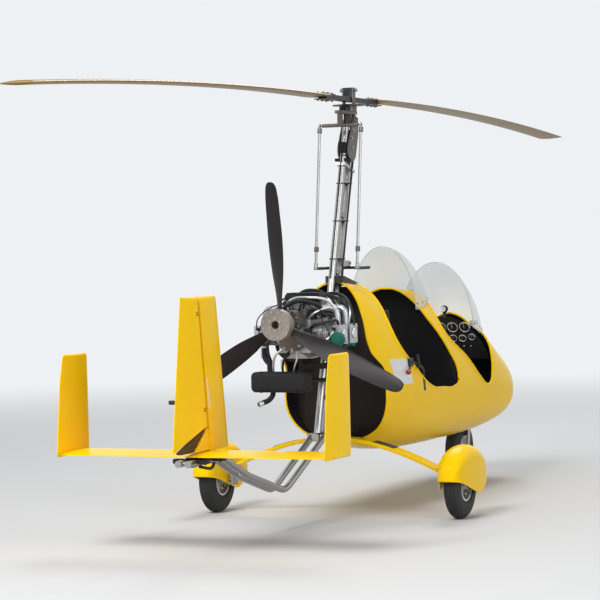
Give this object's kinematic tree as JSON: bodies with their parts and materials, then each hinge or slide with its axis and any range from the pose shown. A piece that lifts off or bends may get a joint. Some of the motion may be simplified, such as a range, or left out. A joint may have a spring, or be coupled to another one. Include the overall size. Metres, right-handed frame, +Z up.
{
  "type": "gyrocopter",
  "caption": "Open-cockpit tandem gyrocopter with a pusher propeller, teetering rotor, tricycle gear and a low tail with side fins.",
  "frame": {"origin": "on the ground under the rotor axis, which is the middle of the bounding box", "axes": "+X forward, +Y to the port side, +Z up"},
  "size_m": [8.4, 1.832, 2.716],
  "materials": {
    "yellow_shell": "gloss",
    "dark_trim": "matte",
    "bulkhead": "satin",
    "seat_cover": "matte",
    "clear_screen": "gloss",
    "stainless": "satin",
    "dark_steel": "satin",
    "dark_alloy": "satin",
    "cast_alloy": "satin",
    "machined_alloy": "satin",
    "bronze_alloy": "satin",
    "green_paint": "gloss",
    "prop_composite": "satin",
    "tyre_rubber": "matte"
  },
  "bodies": {
    "airframe": {"pod_shell": "yellow_shell", "cockpit_floor": "dark_trim", "firewall": "bulkhead", "front_seat": "seat_cover", "rear_seat": "seat_cover", "front_windscreen": "clear_screen", "rear_windscreen": "clear_screen", "instrument_panel": "dark_trim", "compass": "dark_trim", "keel_frame": "stainless", "mast": "stainless", "mast_cover": "dark_trim", "head_plates": "machined_alloy", "engine_mount": "dark_steel", "engine_case": "cast_alloy", "gearbox": "cast_alloy", "cylinders_left": "cast_alloy", "cylinders_right": "cast_alloy", "intake": "cast_alloy", "silencer": "dark_alloy", "air_filters": "green_paint", "gear_bow": "yellow_shell", "axle_left": "stainless", "axle_right": "stainless", "spat_left": "yellow_shell", "spat_right": "yellow_shell", "stabiliser": "yellow_shell", "side_fin_left": "yellow_shell", "side_fin_right": "yellow_shell", "centre_fin": "yellow_shell"},
    "gimbal": {"gimbal_block": "stainless"},
    "head": {"rotor_head": "machined_alloy"},
    "rotor_hub": {"teeter_tower": "machined_alloy"},
    "rotor": {"hub_bar": "dark_steel", "rotor_blades": "bronze_alloy"},
    "yoke_cross": {"yoke_block": "stainless"},
    "yoke": {"control_yoke": "dark_steel"},
    "rod_joint_l": {"rod_joint_left": "stainless"},
    "rod_joint_r": {"rod_joint_right": "stainless"},
    "rod_l": {"push_rod_left": "stainless"},
    "rod_r": {"push_rod_right": "stainless"},
    "propeller": {"prop_hub": "machined_alloy", "prop_blades": "prop_composite"},
    "nose_gear": {"nose_fork": "stainless"},
    "nose_wheel": {"nose_tyre": "tyre_rubber", "nose_rim": "machined_alloy"},
    "wheel_l": {"tyre_left": "tyre_rubber", "rim_left": "machined_alloy"},
    "wheel_r": {"tyre_right": "tyre_rubber", "rim_right": "machined_alloy"},
    "rudder": {"rudder": "yellow_shell"}
  },
  "joints": [
    {"name": "head_pitch", "type": "hinge", "parent": "airframe", "child": "gimbal", "pos_m": [0.01, 0, 2.5], "axis": [0, -1, 0], "range_deg": [0, 16]},
    {"name": "head_roll", "type": "hinge", "parent": "gimbal", "child": "head", "pos_m": [0.01, 0, 2.5], "axis": [1, 0, 0], "range_deg": [-8, 8]},
    {"name": "rotor_spin", "type": "hinge", "parent": "head", "child": "rotor_hub", "pos_m": [0, 0, 2.6], "axis": [0, 0, 1], "continuous": true},
    {"name": "rotor_teeter", "type": "hinge", "parent": "rotor_hub", "child": "rotor", "pos_m": [0, 0, 2.7], "axis": [0, 1, 0], "range_deg": [-7, 7]},
    {"name": "yoke_pitch", "type": "hinge", "parent": "airframe", "child": "yoke_cross", "pos_m": [-0.105, 0, 1.59], "axis": [0, -1, 0], "range_deg": [0, 16]},
    {"name": "yoke_roll", "type": "hinge", "parent": "yoke_cross", "child": "yoke", "pos_m": [-0.105, 0, 1.59], "axis": [1, 0, 0], "range_deg": [-8, 8]},
    {"name": "rod_roll_left", "type": "hinge", "parent": "yoke", "child": "rod_joint_l", "pos_m": [-0.27, 0.142, 1.56], "axis": [1, 0, 0], "range_deg": [-8, 8]},
    {"name": "rod_pitch_left", "type": "hinge", "parent": "rod_joint_l", "child": "rod_l", "pos_m": [-0.27, 0.142, 1.56], "axis": [0, -1, 0], "range_deg": [-16, 0]},
    {"name": "rod_roll_right", "type": "hinge", "parent": "yoke", "child": "rod_joint_r", "pos_m": [-0.27, -0.142, 1.56], "axis": [1, 0, 0], "range_deg": [-8, 8]},
    {"name": "rod_pitch_right", "type": "hinge", "parent": "rod_joint_r", "child": "rod_r", "pos_m": [-0.27, -0.142, 1.56], "axis": [0, -1, 0], "range_deg": [-16, 0]},
    {"name": "prop_spin", "type": "hinge", "parent": "airframe", "child": "propeller", "pos_m": [-1.156, 0, 1.238], "axis": [1, 0, 0], "continuous": true},
    {"name": "nose_steer", "type": "hinge", "parent": "airframe", "child": "nose_gear", "pos_m": [2.015, 0, 0.5], "axis": [0, 0, 1], "range_deg": [-30, 30]},
    {"name": "nose_wheel_spin", "type": "hinge", "parent": "nose_gear", "child": "nose_wheel", "pos_m": [1.99, 0, 0.21], "axis": [0, 1, 0], "continuous": true},
    {"name": "wheel_spin_left", "type": "hinge", "parent": "airframe", "child": "wheel_l", "pos_m": [-0.35, 0.83, 0.21], "axis": [0, 1, 0], "continuous": true},
    {"name": "wheel_spin_right", "type": "hinge", "parent": "airframe", "child": "wheel_r", "pos_m": [-0.35, -0.83, 0.21], "axis": [0, 1, 0], "continuous": true},
    {"name": "rudder_hinge", "type": "hinge", "parent": "airframe", "child": "rudder", "pos_m": [-2.284, 0, 0.716], "axis": [-0.118, 0, 0.993], "range_deg": [-30, 30]}
  ],
  "couplings": [
    {"joint": "yoke_pitch", "follows": "head_pitch", "ratio": 1},
    {"joint": "yoke_roll", "follows": "head_roll", "ratio": 1},
    {"joint": "rod_pitch_left", "follows": "head_pitch", "ratio": -1},
    {"joint": "rod_pitch_right", "follows": "head_pitch", "ratio": -1},
    {"joint": "rod_roll_left", "follows": "head_roll", "ratio": -1},
    {"joint": "rod_roll_right", "follows": "head_roll", "ratio": -1},
    {"joint": "rudder_hinge", "follows": "nose_steer", "ratio": -1}
  ]
}
